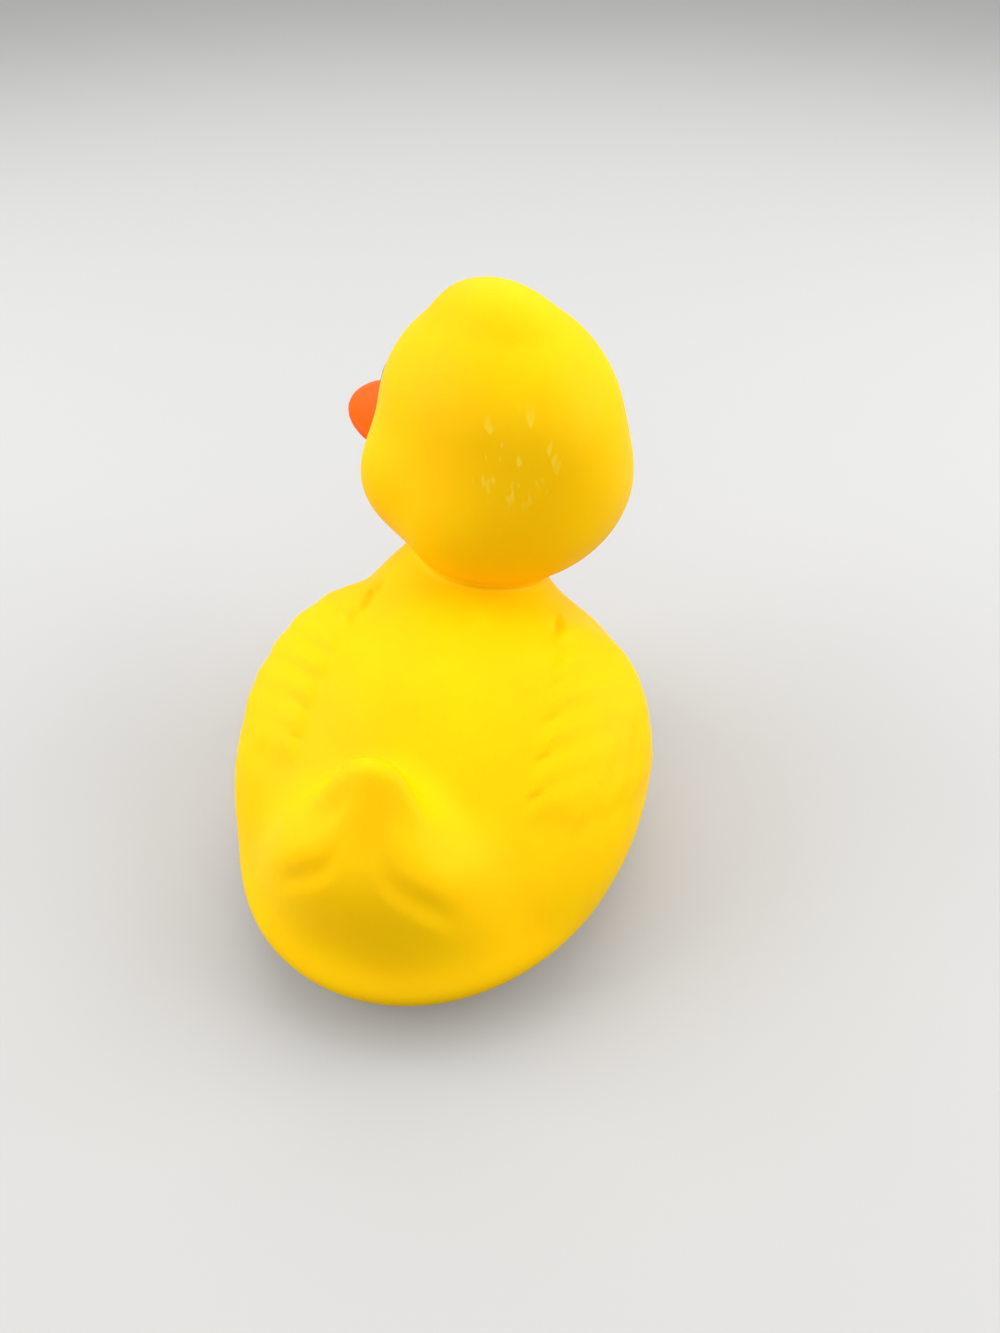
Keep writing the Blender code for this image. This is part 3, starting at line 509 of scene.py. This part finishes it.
def wing_relief(points):
    """The wing's raised level, with its feathers overlapping rearwards and outwards."""
    along, reach, angle = wing_places(points)
    first = by_side(points, COVERT_FIRST_LEFT, COVERT_FIRST_RIGHT)
    pitch = by_side(points, COVERT_PITCH_LEFT, COVERT_PITCH_RIGHT)
    behind = first - along
    inner_start = by_side(points, COVERT_INNER_LEFT, COVERT_INNER_RIGHT)
    inner_lean = by_side(points, COVERT_INNER_LEAN_LEFT, COVERT_INNER_LEAN_RIGHT)
    inner_edge = inner_start + behind * inner_lean
    sweep = by_side(points, COVERT_SWEEP_LEFT, COVERT_SWEEP_RIGHT)
    sweep = sweep + behind * by_side(points, COVERT_SWEEP_CHANGE_LEFT, COVERT_SWEEP_CHANGE_RIGHT)
    swept = np.maximum(sweep, 0.0) * (reach - inner_edge)
    phase = (behind + swept) / pitch
    share = phase - np.floor(phase)
    scallop = COVERT_SCALLOP * (1.0 - share) ** 2
    inner = ramp(reach - inner_edge - scallop, -EDGE_SOFTNESS, EDGE_SOFTNESS)
    outer_edge = COVERT_REACH + COVERT_SPREAD * along
    rim = by_side(points, COVERT_RIM_LEFT, COVERT_RIM_RIGHT)
    on_coverts = 1.0 - (1.0 - rim) * ramp(reach - outer_edge, -COVERT_RIM_WIDTH, 0.0)
    outwards = ramp(reach / outer_edge, COVERT_FADE_START, COVERT_FADE_END)
    on_coverts *= 1.0 - (1.0 - COVERT_OUTER_SHARE) * outwards
    front_step = by_side(points, COVERT_FRONT_STEP_LEFT, COVERT_FRONT_STEP_RIGHT)
    step = front_step + (COVERT_REAR_STEP - front_step) * ramp(behind, 0.0, first - WING_REAR_END)
    on_coverts *= ramp(phase, COVERT_ONSET, COVERT_ONSET_END)
    coverts = step * on_coverts * (1.0 - shingle(phase, COVERT_STEP_SHARE))

    count = (angle - FLIGHT_FIRST_ANGLE) / FLIGHT_PITCH_ANGLE
    on_flight = ramp(reach - outer_edge, -FLIGHT_OVERLAP, EDGE_SOFTNESS / 2)
    nearest = np.abs(count - np.round(count))
    row = np.clip(count + 0.5, 0.0, FLIGHT_FEATHERS)
    tip = WING_REAR_END + WING_REAR_SWEEP * (reach - inner_edge) + FLIGHT_TIP_STEP * row
    tip += FLIGHT_TIP_ROUND * (1.0 - 2.0 * nearest) ** 2 * on_flight
    rear = ramp(along - tip, -REAR_SOFTNESS, REAR_SOFTNESS)
    on_flight *= 1.0 - ramp(along - tip, FLIGHT_FADE_START, FLIGHT_LENGTH)
    on_flight *= ramp(along - tip, 0.0, REAR_SOFTNESS)
    flight = FLIGHT_STEP * on_flight * (1.0 - shingle(count, FLIGHT_STEP_SHARE))

    front = 1.0 - ramp(along, WING_FRONT_END - WING_BLEND, WING_FRONT_END)
    lower = 1.0 - ramp(count, FLIGHT_FEATHERS, FLIGHT_FEATHERS + WING_LOWER_SHARE)
    beside = 1.0 - ramp(wing_form(points), WING_MARGIN, WING_MARGIN_END)
    level = inner * lower * rear * front * beside
    return level * (WING_EDGE_STEP - coverts - flight)


def wing_dimples(points):
    along, reach, angle = wing_places(points)
    distance = np.hypot(along - DIMPLE_FORWARD, reach - DIMPLE_REACH)
    depth = by_side(points, DIMPLE_DEPTH_LEFT, DIMPLE_DEPTH_RIGHT)
    return -depth * (1.0 - ramp(distance, 0.0, DIMPLE_RADIUS)) * (angle < math.pi / 2)


def tail_relief(points):
    """Feathers that run down both arms of the wedge, one below the other."""
    x, y, z = points.T
    side = np.abs(y - TAIL_FEATHER_SIDE)
    drop = TAIL_FEATHER_TOP - z - side * TAIL_FEATHER_SLOPE
    over_tail = ramp(side, TAIL_FEATHER_INNER, TAIL_FEATHER_FULL)
    over_tail *= 1.0 - ramp(side, TAIL_FEATHER_FADE, TAIL_FEATHER_OUTER)
    over_tail *= 1.0 - ramp(x, TAIL_FEATHER_FRONT, TAIL_FEATHER_FRONT_END)
    height = np.zeros(len(points))
    for groove_drop, depth in zip(TAIL_GROOVE_DROPS, TAIL_GROOVE_DEPTHS):
        away = np.abs(drop - groove_drop)
        height -= depth * (1.0 - ramp(away, 0.0, TAIL_GROOVE_WIDTH))
        bank = np.abs(away - TAIL_BANK_WIDTH)
        height += depth * TAIL_BANK_SHARE * (1.0 - ramp(bank, 0.0, TAIL_GROOVE_WIDTH))
    return height * over_tail


def eye_reach(points):
    """How far a point lies from the nearer eye's middle, as a share of the eye's own size."""
    local = mirrored(in_head(points))
    heading = np.arctan2(local[:, 1], local[:, 0])
    across = (heading - EYE_ANGLE) * HEAD_HALF_WIDTH
    return np.hypot(across / EYE_HALF_WIDTH, (local[:, 2] - EYE_RISE) / EYE_HALF_HEIGHT)


def eye_relief(points):
    swell = np.sqrt(np.clip(1.0 - eye_reach(points) ** 2, 0.0, 1.0))
    return EYE_SWELL * swell * (head_form(points) < EYE_SWELL * 2)


def relief(points):
    return wing_relief(points) + wing_dimples(points) + tail_relief(points) + eye_relief(points)


# Skin mesh

def put_in_scene(name, mesh):
    item = bpy.data.objects.new(name, mesh)
    bpy.context.scene.collection.objects.link(item)
    return item


def bake(item):
    """Makes the object's modifiers its mesh."""
    graph = bpy.context.evaluated_depsgraph_get()
    graph.update()
    mesh = bpy.data.meshes.new_from_object(item.evaluated_get(graph))
    item.modifiers.clear()
    item.data = mesh


def mesh_from(bm, name):
    mesh = bpy.data.meshes.new(name)
    bm.to_mesh(mesh)
    bm.free()
    return mesh


def blank_mesh(inset):
    """Balls in the places of the duck's main forms, for the skin to be drawn from."""
    bm = bmesh.new()

    def ball(place, centre, radii):
        inner = [radius - inset for radius in radii]
        place = place @ Matrix.Translation(centre) @ Matrix.Diagonal((*inner, 1.0))
        bmesh.ops.create_icosphere(bm, subdivisions=BLANK_SUBDIVISIONS, radius=1.0, matrix=place)

    still = Matrix.Identity(4)
    belly_radii = (BELLY_HALF_LENGTH, BELLY_HALF_WIDTH, BELLY_HALF_HEIGHT)
    ball(still, (BELLY_X, 0, BELLY_HEIGHT), belly_radii)
    rump_radii = (RUMP_HALF_LENGTH, RUMP_HALF_WIDTH, RUMP_HALF_HEIGHT)
    ball(still, (RUMP_X, 0, RUMP_HEIGHT), rump_radii)
    shoulder_radii = (SHOULDER_HALF_LENGTH, SHOULDER_HALF_WIDTH, SHOULDER_HALF_HEIGHT)
    ball(still, (SHOULDER_X, 0, SHOULDER_HEIGHT), shoulder_radii)
    foot = Vector((NECK_FOOT_X, NECK_FOOT_SIDE, NECK_FOOT_HEIGHT))
    tip = Vector((TAIL_TIP_X, TAIL_SIDE, TAIL_TIP_HEIGHT))
    for share in BLANK_STATIONS:
        radius = NECK_FOOT_RADIUS + (NECK_RADIUS - NECK_FOOT_RADIUS) * share
        ball(still, foot.lerp((NECK_X, 0, NECK_HEIGHT), share), (radius,) * 3)
        radius = TAIL_TIP_RADIUS + (TAIL_ROOT_HALF_WIDTH - TAIL_TIP_RADIUS) * share
        thickness = max(radius * TAIL_FLATNESS, TAIL_TIP_RADIUS)
        root = (TAIL_ROOT_X, TAIL_SIDE, TAIL_ROOT_HEIGHT)
        ball(still, tip.lerp(root, share), (thickness, radius, radius))

    head = Matrix.Translation((HEAD_X, 0, HEAD_HEIGHT)) @ Matrix.Rotation(HEAD_TURN, 4, "Z")
    for side in (-1, 1):
        wing = Matrix.Translation((WING_X, side * WING_SIDE, WING_HEIGHT))
        wing = wing @ Matrix.Rotation(-WING_RISE, 4, "Y")
        ball(wing, (0, 0, 0), (WING_HALF_LENGTH, WING_HALF_WIDTH, WING_HALF_HEIGHT))
        ball(head, (CHEEK_X, side * CHEEK_SIDE, -CHEEK_DROP), (CHEEK_RADIUS,) * 3)
    ball(head, (0, 0, 0), (HEAD_HALF_LENGTH, HEAD_HALF_WIDTH, HEAD_HALF_HEIGHT))
    jowl_radii = (JOWL_HALF_LENGTH, JOWL_HALF_WIDTH, JOWL_HALF_HEIGHT)
    ball(head, (JOWL_X, 0, -JOWL_DROP), jowl_radii)
    crest_radii = (CREST_HALF_LENGTH, CREST_HALF_WIDTH, CREST_HALF_HEIGHT)
    ball(head, (CREST_X, 0, CREST_RISE), crest_radii)
    upper = head @ Matrix.Translation((UPPER_BILL_X, 0, -UPPER_BILL_DROP))
    upper = upper @ Matrix.Rotation(-UPPER_BILL_TILT, 4, "Y")
    upper_radii = (UPPER_BILL_HALF_LENGTH, UPPER_BILL_HALF_WIDTH, UPPER_BILL_HALF_THICKNESS)
    ball(upper, (0, 0, 0), upper_radii)
    lower_radii = (LOWER_BILL_HALF_LENGTH, LOWER_BILL_HALF_WIDTH, LOWER_BILL_HALF_THICKNESS)
    ball(head, (LOWER_BILL_X, 0, -LOWER_BILL_DROP), lower_radii)
    return mesh_from(bm, "blank")


def slope(form, points):
    """The form's distance at each point and the direction in which it grows."""
    gradient = np.empty_like(points)
    for axis in range(3):
        shift = np.zeros(3)
        shift[axis] = SLOPE_STEP
        gradient[:, axis] = (form(points + shift) - form(points - shift)) / (2.0 * SLOPE_STEP)
    return form(points), gradient


def neighbour_mean(points, first, second):
    """The middle of each vertex's neighbours, over edges given by their two ends."""
    ends = np.concatenate((first, second))
    others = np.concatenate((second, first))
    count = np.bincount(ends, minlength=len(points))
    sums = [np.bincount(ends, points[others, axis], len(points)) for axis in range(3)]
    return np.column_stack(sums) / count[:, None]


def vertex_points(mesh):
    points = np.empty(len(mesh.vertices) * 3)
    mesh.vertices.foreach_get("co", points)
    return points.reshape(-1, 3)


def settle(mesh, form):
    """Moves each vertex onto the form, and evens the spacing on the way."""
    points = vertex_points(mesh)
    edges = np.empty(len(mesh.edges) * 2, dtype=np.int64)
    mesh.edges.foreach_get("vertices", edges)
    first, second = edges.reshape(-1, 2).T
    for turn in range(SETTLE_ROUNDS):
        distance, gradient = slope(form, points)
        size = np.maximum((gradient ** 2).sum(axis=1), LEAST_SLOPE)
        points -= gradient * (distance / size)[:, None]
        if turn < SETTLE_ROUNDS - EXACT_ROUNDS:
            normal = gradient / np.sqrt(size)[:, None]
            pull = neighbour_mean(points, first, second) - points
            pull -= normal * (pull * normal).sum(axis=1)[:, None]
            points += pull * SPACING_PULL
    return points


def drawn_skin(name, form, inset, grain, raised):
    """A closed skin on the form, with the feathers raised on it if asked."""
    item = put_in_scene(name, blank_mesh(inset))
    remesh = item.modifiers.new("join_forms", "REMESH")
    remesh.mode = "VOXEL"
    remesh.voxel_size = grain
    bake(item)
    points = settle(item.data, form)
    if raised:
        gradient = slope(form, points)[1]
        size = np.sqrt(np.maximum((gradient ** 2).sum(axis=1), LEAST_SLOPE))
        points += gradient / size[:, None] * relief(points)[:, None]
    points[np.abs(points[:, 2]) < FLOOR_TOLERANCE, 2] = 0.0
    item.data.vertices.foreach_set("co", points.ravel())
    item.data.update()
    return item


def boolean_difference(item, tool):
    change = item.modifiers.new(tool.name, "BOOLEAN")
    change.object = tool
    change.operation = "DIFFERENCE"
    change.solver = "MANIFOLD"
    bake(item)


def turned_tool(name, outline):
    """A closed outline of radius and height, spun about the upright axis."""
    bm = bmesh.new()
    corners = [bm.verts.new((radius, 0, height)) for radius, height in outline]
    edges = [bm.edges.new(pair) for pair in zip(corners, corners[1:])]
    bmesh.ops.spin(
        bm,
        geom=corners + edges,
        cent=(0, 0, 0),
        axis=(0, 0, 1),
        angle=math.tau,
        steps=BORE_STEPS,
        use_merge=True,
    )
    bmesh.ops.remove_doubles(bm, verts=bm.verts, dist=BORE_MERGE)
    bmesh.ops.recalc_face_normals(bm, faces=bm.faces)
    return put_in_scene(name, mesh_from(bm, name))


def set_float_attribute(mesh, name, values):
    layer = mesh.attributes.new(name, "FLOAT", "POINT")
    layer.data.foreach_set("value", values.astype(np.float32))


def duck_skin():
    skin = drawn_skin("duck_skin", duck_form, 0.0, SKIN_GRAIN, True)
    cavity = drawn_skin("cavity", cavity_form, SKIN_WALL, CAVITY_GRAIN, False)
    collar = turned_tool("collar", (
        (0.0, -SKIN_WALL),
        (BORE_RADIUS + COLLAR_WALL, -SKIN_WALL),
        (BORE_RADIUS + COLLAR_WALL, COLLAR_HEIGHT),
        (0.0, COLLAR_HEIGHT),
    ))
    bore = turned_tool("bore", (
        (0.0, -SKIN_WALL),
        (RECESS_RADIUS, -SKIN_WALL),
        (RECESS_RADIUS, RECESS_DEPTH),
        (BORE_RADIUS, RECESS_DEPTH),
        (BORE_RADIUS, COLLAR_HEIGHT + SKIN_WALL),
        (0.0, COLLAR_HEIGHT + SKIN_WALL),
    ))
    boolean_difference(cavity, collar)
    boolean_difference(skin, cavity)
    boolean_difference(skin, bore)
    for tool in (cavity, collar, bore):
        bpy.data.objects.remove(tool)

    points = vertex_points(skin.data)
    outside = duck_form(points) > -SKIN_WALL / 2
    bill_edge = np.where(outside, bill_form(points) - head_form(points), SKIN_WALL)
    bill_edge = np.maximum(bill_edge, bill_form(points) - SKIN_WALL / 2)
    eye_edge = np.where(outside & (head_form(points) < EYE_SWELL * 2), eye_reach(points) - 1.0, 1.0)
    set_float_attribute(skin.data, "bill_edge", bill_edge / MM)
    set_float_attribute(skin.data, "eye_edge", eye_edge * EYE_HALF_WIDTH / MM)
    skin.data.transform(Matrix.Translation(FORM_PLACE))
    skin.data.materials.clear()
    skin.data.shade_smooth()
    skin.data.set_sharp_from_angle(angle=SHARP_ANGLE)
    return skin


# Finishes

class Nodes:
    """Adds nodes to a material or a group, and links what is passed in to their inputs."""

    def __init__(self, tree):
        self.tree = tree

    def add(self, kind, inputs=None, **settings):
        node = self.tree.nodes.new(kind)
        for name, value in settings.items():
            setattr(node, name, value)
        for name, value in (inputs or {}).items():
            self.feed(node.inputs[name], value)
        return node

    def feed(self, socket, value):
        if isinstance(value, bpy.types.NodeSocket):
            self.tree.links.new(value, socket)
        else:
            socket.default_value = value

    def math(self, operation, first, second=0.0):
        return self.add("ShaderNodeMath", {0: first, 1: second}, operation=operation).outputs[0]

    def between(self, value, low, high, start=0.0, end=1.0):
        """Smooth step of the value from start at low to end at high."""
        node = self.add(
            "ShaderNodeMapRange",
            {"Value": value, "From Min": low, "From Max": high, "To Min": start, "To Max": end},
            interpolation_type="SMOOTHSTEP",
        )
        return node.outputs["Result"]

    def colours(self, share, first, second):
        node = self.add("ShaderNodeMix", {"Factor": share, 6: first, 7: second}, data_type="RGBA")
        return node.outputs[2]

    def noise(self, place, size, detail=2.0, roughness=0.5):
        node = self.add(
            "ShaderNodeTexNoise",
            {"Vector": place, "Scale": 1.0 / size, "Detail": detail, "Roughness": roughness},
        )
        return node.outputs["Fac"]


def moulding_group():
    """Uneven gloss, tone and fine grain of a moulded plastic surface."""
    tree = bpy.data.node_groups.new("moulded_surface", "ShaderNodeTree")
    face = tree.interface
    face.new_socket("Grain Size", in_out="INPUT", socket_type="NodeSocketFloat")
    face.new_socket("Patch Size", in_out="INPUT", socket_type="NodeSocketFloat")
    face.new_socket("Grain", in_out="OUTPUT", socket_type="NodeSocketFloat")
    face.new_socket("Patches", in_out="OUTPUT", socket_type="NodeSocketFloat")
    nodes = Nodes(tree)
    inputs = nodes.add("NodeGroupInput")
    place = nodes.add("ShaderNodeTexCoord").outputs["Object"]
    fine = nodes.math("DIVIDE", 1.0, inputs.outputs["Grain Size"])
    broad = nodes.math("DIVIDE", 1.0, inputs.outputs["Patch Size"])
    grain = nodes.add("ShaderNodeTexNoise", {"Vector": place, "Scale": fine, "Detail": 2.0})
    patches = nodes.add("ShaderNodeTexNoise", {"Vector": place, "Scale": broad, "Detail": 3.0})
    outputs = nodes.add("NodeGroupOutput")
    nodes.feed(outputs.inputs["Grain"], grain.outputs["Fac"])
    nodes.feed(outputs.inputs["Patches"], patches.outputs["Fac"])
    return tree


def new_material(name):
    material = bpy.data.materials.new(name)
    material.use_nodes = True
    return material, Nodes(material.node_tree), material.node_tree.nodes["Principled BSDF"]


def head_scuffs(nodes, place):
    """Fine pale scratches that run down the back of the head."""
    stretch = (1.0, 1.0, SCUFF_STRETCH)
    lie = nodes.add(
        "ShaderNodeMapping",
        {"Vector": place, "Location": SCUFF_PLACE, "Rotation": SCUFF_LIE, "Scale": stretch},
        vector_type="TEXTURE",
    )
    streaks = nodes.noise(lie.outputs["Vector"], SCUFF_WIDTH, 1.0)
    streaks = nodes.between(streaks, SCUFF_START, SCUFF_FULL)
    reach = nodes.add("ShaderNodeVectorMath", {0: place, 1: SCUFF_PLACE}, operation="DISTANCE")
    near = nodes.between(reach.outputs["Value"], SCUFF_INNER, SCUFF_OUTER, 1.0, 0.0)
    return nodes.math("MULTIPLY", streaks, near)


def vinyl_material(moulding):
    material, nodes, shader = new_material("yellow_vinyl")
    surface = nodes.add("ShaderNodeGroup", node_tree=moulding)
    surface.inputs["Grain Size"].default_value = VINYL_GRAIN
    surface.inputs["Patch Size"].default_value = VINYL_PATCH
    place = nodes.add("ShaderNodeTexCoord").outputs["Object"]

    bill_edge = nodes.add("ShaderNodeAttribute", attribute_name="bill_edge").outputs["Fac"]
    eye_edge = nodes.add("ShaderNodeAttribute", attribute_name="eye_edge").outputs["Fac"]
    waver = nodes.math("SUBTRACT", nodes.noise(place, PAINT_WAVER_SIZE), 0.5)
    waver = nodes.math("MULTIPLY", waver, PAINT_WAVER)
    paint_edge = nodes.math("ADD", bill_edge, waver)
    on_bill = nodes.between(paint_edge, BILL_PAINT_START, BILL_PAINT_END, 1.0, 0.0)
    on_eye = nodes.between(eye_edge, EYE_PAINT_START, EYE_PAINT_END, 1.0, 0.0)

    yellow = nodes.colours(surface.outputs["Patches"], VINYL_DEEP, VINYL_PALE)
    scuffs = nodes.math("MULTIPLY", head_scuffs(nodes, place), SCUFF_LIFT)
    yellow = nodes.colours(scuffs, yellow, SCUFF_PALE)
    colour = nodes.colours(on_bill, yellow, BILL_ORANGE)
    colour = nodes.colours(on_eye, colour, EYE_BLACK)
    nodes.feed(shader.inputs["Base Color"], colour)

    gloss = nodes.math("MULTIPLY", surface.outputs["Patches"], VINYL_GLOSS_CHANGE)
    gloss = nodes.math("ADD", gloss, VINYL_ROUGHNESS - VINYL_GLOSS_CHANGE / 2)
    gloss = nodes.add("ShaderNodeMix", {"Factor": on_bill, 2: gloss, 3: BILL_ROUGHNESS}).outputs[0]
    gloss = nodes.add("ShaderNodeMix", {"Factor": on_eye, 2: gloss, 3: EYE_ROUGHNESS}).outputs[0]
    nodes.feed(shader.inputs["Roughness"], gloss)

    height = surface.outputs["Grain"]
    grain = {"Height": height, "Strength": VINYL_GRAIN_BUMP, "Distance": VINYL_GRAIN_DEPTH}
    bump = nodes.add("ShaderNodeBump", grain)
    nodes.feed(shader.inputs["Normal"], bump.outputs["Normal"])
    shader.inputs["Subsurface Weight"].default_value = SOFT_LIGHT_SHARE
    shader.inputs["Subsurface Radius"].default_value = SOFT_LIGHT_REACH
    shader.inputs["Subsurface Scale"].default_value = SOFT_LIGHT_SCALE
    shader.inputs["IOR"].default_value = VINYL_IOR
    shader.inputs["Specular IOR Level"].default_value = VINYL_SHEEN
    return material


def plastic_material(name, moulding, colour, roughness):
    material, nodes, shader = new_material(name)
    surface = nodes.add("ShaderNodeGroup", node_tree=moulding)
    surface.inputs["Grain Size"].default_value = PLASTIC_GRAIN
    surface.inputs["Patch Size"].default_value = PLASTIC_PATCH
    dull = [part * PLASTIC_DULL for part in colour[:3]] + [1.0]
    nodes.feed(shader.inputs["Base Color"], nodes.colours(surface.outputs["Patches"], dull, colour))
    smooth, rough = roughness - PLASTIC_GLOSS_CHANGE, roughness + PLASTIC_GLOSS_CHANGE
    gloss = nodes.between(surface.outputs["Patches"], 0.2, 0.8, smooth, rough)
    nodes.feed(shader.inputs["Roughness"], gloss)
    height = surface.outputs["Grain"]
    grain = {"Height": height, "Strength": PLASTIC_GRAIN_BUMP, "Distance": PLASTIC_GRAIN_DEPTH}
    bump = nodes.add("ShaderNodeBump", grain)
    nodes.feed(shader.inputs["Normal"], bump.outputs["Normal"])
    return material


# Studio

def floor_material():
    material, nodes, shader = new_material("pale_floor")
    path = nodes.add("ShaderNodeLightPath")
    seen = nodes.math("MAXIMUM", path.outputs["Is Camera Ray"], path.outputs["Is Glossy Ray"])
    nodes.feed(shader.inputs["Base Color"], nodes.colours(seen, FLOOR_BOUNCE, FLOOR_COLOUR))
    shader.inputs["Roughness"].default_value = FLOOR_ROUGHNESS
    shader.inputs["Specular IOR Level"].default_value = FLOOR_SHEEN
    return material


def studio_floor():
    bm = bmesh.new()
    bmesh.ops.create_grid(bm, x_segments=1, y_segments=1, size=FLOOR_HALF_SIZE)
    floor = put_in_scene("studio_floor", mesh_from(bm, "studio_floor"))
    floor.data.materials.append(floor_material())


def studio_world():
    world = bpy.data.worlds.new("studio_world")
    bpy.context.scene.world = world
    world.use_nodes = True
    background = world.node_tree.nodes["Background"]
    background.inputs["Color"].default_value = (1.0, 1.0, 1.0, 1.0)
    background.inputs["Strength"].default_value = WORLD_STRENGTH


def soft_lamp(name, direction, size, power):
    """A square softbox that faces the duck from the given direction."""
    lamp = bpy.data.lights.new(name, "AREA")
    lamp.shape = "SQUARE"
    lamp.size = size
    lamp.energy = power
    item = bpy.data.objects.new(name, lamp)
    bpy.context.scene.collection.objects.link(item)
    away = Vector(direction).normalized()
    item.location = LOOK_POINT + away * LAMP_DISTANCE
    item.rotation_euler = away.to_track_quat("Z", "Y").to_euler()


def studio_camera():
    lens = bpy.data.cameras.new("camera")
    lens.lens = LENS
    lens.sensor_width = SENSOR
    lens.sensor_fit = "AUTO"
    lens.clip_start = 1.0 * MM
    camera = bpy.data.objects.new("camera", lens)
    bpy.context.scene.collection.objects.link(camera)
    forward = Vector((
        math.cos(VIEW_HEADING) * math.cos(VIEW_FALL),
        math.sin(VIEW_HEADING) * math.cos(VIEW_FALL),
        -math.sin(VIEW_FALL),
    ))
    camera.location = LOOK_POINT - forward * VIEW_DISTANCE
    camera.rotation_euler = forward.to_track_quat("-Z", "Y").to_euler()
    bpy.context.scene.camera = camera


def build():
    moulding = moulding_group()
    skin = duck_skin()
    skin.data.materials.append(vinyl_material(moulding))
    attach(skin, "root")
    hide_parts("duck_body")

    case_plastic = plastic_material("white_plastic", moulding, CASE_WHITE, CASE_ROUGHNESS)
    reed_plastic = plastic_material("clear_film", moulding, REED_GREY, REED_ROUGHNESS)
    for node, finish in (
        ("squeaker_case", case_plastic),
        ("squeaker_reed_seat", case_plastic),
        ("squeaker_reed", reed_plastic),
    ):
        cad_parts[node].data.materials.clear()
        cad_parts[node].data.materials.append(finish)

    studio_floor()
    studio_world()
    ahead_x, ahead_y = math.cos(VIEW_HEADING), math.sin(VIEW_HEADING)
    soft_lamp("top_softbox", TOP_DIRECTION, TOP_SIZE, TOP_POWER)
    soft_lamp("left_softbox", (-ahead_y, ahead_x, SIDE_HEIGHT), SIDE_SIZE, LEFT_POWER)
    soft_lamp("right_softbox", (ahead_y, -ahead_x, SIDE_HEIGHT), SIDE_SIZE, RIGHT_POWER)
    soft_lamp("rear_softbox", (-ahead_x, -ahead_y, REAR_HEIGHT), SIDE_SIZE, REAR_POWER)
    studio_camera()
    bpy.context.scene.view_settings.view_transform = "Standard"


build()
